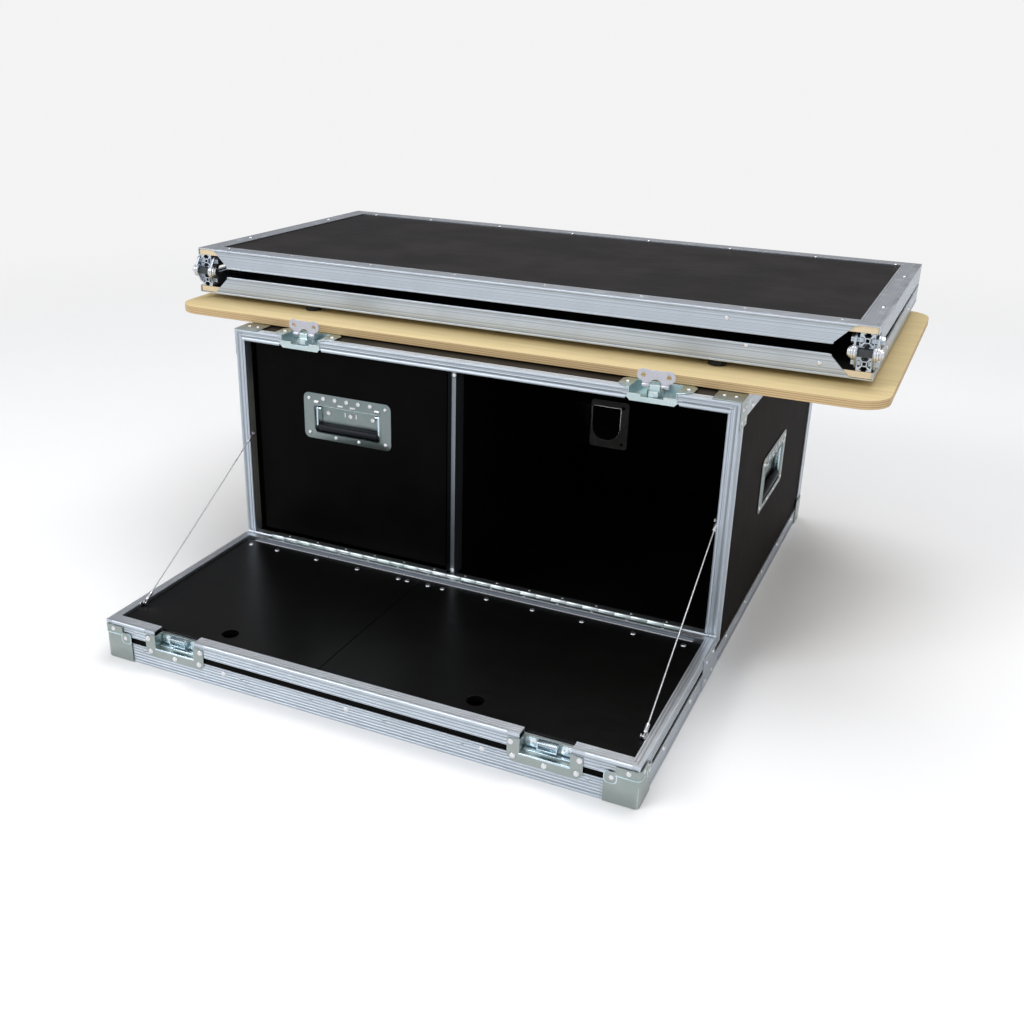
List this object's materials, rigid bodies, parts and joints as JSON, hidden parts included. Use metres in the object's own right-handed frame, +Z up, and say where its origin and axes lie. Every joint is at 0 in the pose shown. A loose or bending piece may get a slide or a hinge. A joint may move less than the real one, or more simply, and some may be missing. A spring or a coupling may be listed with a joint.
{
  "type": "camping box",
  "caption": "Flight case style camping box with a fold-down front flap, a drawer, an open compartment, a loose board and a folded table unit on top.",
  "frame": {"origin": "middle of the bounding box, on the ground", "axes": "+X to the right of the open front, +Y from the flap to the back, +Z up"},
  "size_m": [1.126, 0.984, 0.5031],
  "materials": {
    "black_plywood": "black film faced plywood, satin gloss",
    "birch_plywood": "clear lacquered birch plywood",
    "aluminium_profile": "mill finished, fine ribs along the profile",
    "zinc_steel": "bright zinc plated steel",
    "bright_steel": "bright steel",
    "black_grip": "matt black moulded grip",
    "grey_plate": "matt dark grey"
  },
  "bodies": {
    "case": {"bottom_panel": "black_plywood", "top_panel": "black_plywood", "back_panel": "black_plywood", "left_panel": "black_plywood", "right_panel": "black_plywood", "sill_panel": "black_plywood", "front_frame": "aluminium_profile", "case_angles": "aluminium_profile", "divider_panel": "black_plywood", "divider_edge": "aluminium_profile", "corner_brace_left": "zinc_steel", "corner_brace_right": "zinc_steel", "rear_corner_left": "zinc_steel", "rear_corner_right": "zinc_steel", "hinge_case_leaf": "zinc_steel", "hinge_pin": "bright_steel", "left_handle_dish": "zinc_steel", "right_handle_dish": "zinc_steel", "left_latch_dish": "zinc_steel", "right_latch_dish": "zinc_steel", "drawer_runner_left": "zinc_steel", "drawer_runner_right": "zinc_steel", "outlet_plate": "grey_plate", "stay_anchor_case_left": "bright_steel", "stay_anchor_case_right": "bright_steel", "stay_wire_left": "bright_steel", "stay_wire_right": "bright_steel"},
    "left_handle": {"left_handle_bail": "black_grip"},
    "right_handle": {"right_handle_bail": "black_grip"},
    "left_latch_hub": {"left_latch_hub": "zinc_steel"},
    "left_latch_wing": {"left_latch_wing": "zinc_steel"},
    "right_latch_hub": {"right_latch_hub": "zinc_steel"},
    "right_latch_wing": {"right_latch_wing": "zinc_steel"},
    "drawer": {"drawer_front": "black_plywood", "drawer_box": "birch_plywood", "drawer_handle_dish": "zinc_steel"},
    "drawer_handle": {"drawer_handle_bail": "black_grip"},
    "flap": {"flap_panel": "black_plywood", "flap_frame": "black_plywood", "flap_rim": "aluminium_profile", "flap_angle": "aluminium_profile", "lid_hinge": "bright_steel", "flap_corner_left": "zinc_steel", "flap_corner_right": "zinc_steel", "flap_keeper_left": "zinc_steel", "flap_keeper_right": "zinc_steel", "hinge_flap_leaf": "zinc_steel", "stay_anchor_flap_left": "bright_steel", "stay_anchor_flap_right": "bright_steel", "flap_lid_left": "black_plywood", "flap_lid_right": "black_plywood"},
    "board": {"deck_board": "birch_plywood"},
    "lower_leaf": {"lower_leaf_angles": "aluminium_profile", "lower_leaf_panel": "black_plywood", "lower_rail_left": "aluminium_profile", "lower_rail_right": "aluminium_profile"},
    "upper_leaf": {"upper_leaf_angles": "aluminium_profile", "upper_leaf_panel": "black_plywood", "upper_rail_left": "aluminium_profile", "upper_rail_right": "aluminium_profile"}
  },
  "joints": [
    {"name": "flap_hinge", "type": "hinge", "parent": "case", "child": "flap", "pos_m": [-0.013, -0.14335, 0.0605], "axis": [1, 0, 0], "range_deg": [-90, 0], "deforming": ["stay_wire_left", "stay_wire_right"]},
    {"name": "drawer_slide", "type": "slide", "parent": "case", "child": "drawer", "axis": [0, -1, 0], "range_m": [0, 0.45]},
    {"name": "drawer_handle_turn", "type": "hinge", "parent": "drawer", "child": "drawer_handle", "pos_m": [-0.2205, -0.12485, 0.292], "axis": [-1, 0, 0], "range_deg": [0, 90], "stiffness_Nm_per_rad": 0.05},
    {"name": "left_handle_turn", "type": "hinge", "parent": "case", "child": "left_handle", "pos_m": [-0.4082, 0.15815, 0.2275], "axis": [0, 1, 0], "range_deg": [0, 90], "stiffness_Nm_per_rad": 0.05},
    {"name": "left_latch_turn", "type": "hinge", "parent": "case", "child": "left_latch_hub", "pos_m": [-0.293, -0.12885, 0.4], "axis": [0, 0, 1], "range_deg": [0, 180]},
    {"name": "left_latch_fold", "type": "hinge", "parent": "left_latch_hub", "child": "left_latch_wing", "pos_m": [-0.293, -0.12885, 0.4092], "axis": [1, 0, 0], "range_deg": [0, 90]},
    {"name": "right_handle_turn", "type": "hinge", "parent": "case", "child": "right_handle", "pos_m": [0.3822, 0.15815, 0.2275], "axis": [0, -1, 0], "range_deg": [0, 90], "stiffness_Nm_per_rad": 0.05},
    {"name": "right_latch_turn", "type": "hinge", "parent": "case", "child": "right_latch_hub", "pos_m": [0.267, -0.12885, 0.4], "axis": [0, 0, 1], "range_deg": [0, 180]},
    {"name": "right_latch_fold", "type": "hinge", "parent": "right_latch_hub", "child": "right_latch_wing", "pos_m": [0.267, -0.12885, 0.4092], "axis": [1, 0, 0], "range_deg": [0, 90]},
    {"name": "board_lift", "type": "slide", "parent": "case", "child": "board", "axis": [0, 0, 1], "range_m": [0, 0.3]},
    {"name": "unit_lift", "type": "slide", "parent": "board", "child": "lower_leaf", "axis": [0, 0, 1], "range_m": [0, 0.3]},
    {"name": "upper_leaf_hinge", "type": "hinge", "parent": "lower_leaf", "child": "upper_leaf", "pos_m": [-0.01, -0.04185, 0.4665], "axis": [1, 0, 0], "range_deg": [0, 181.17]}
  ]
}
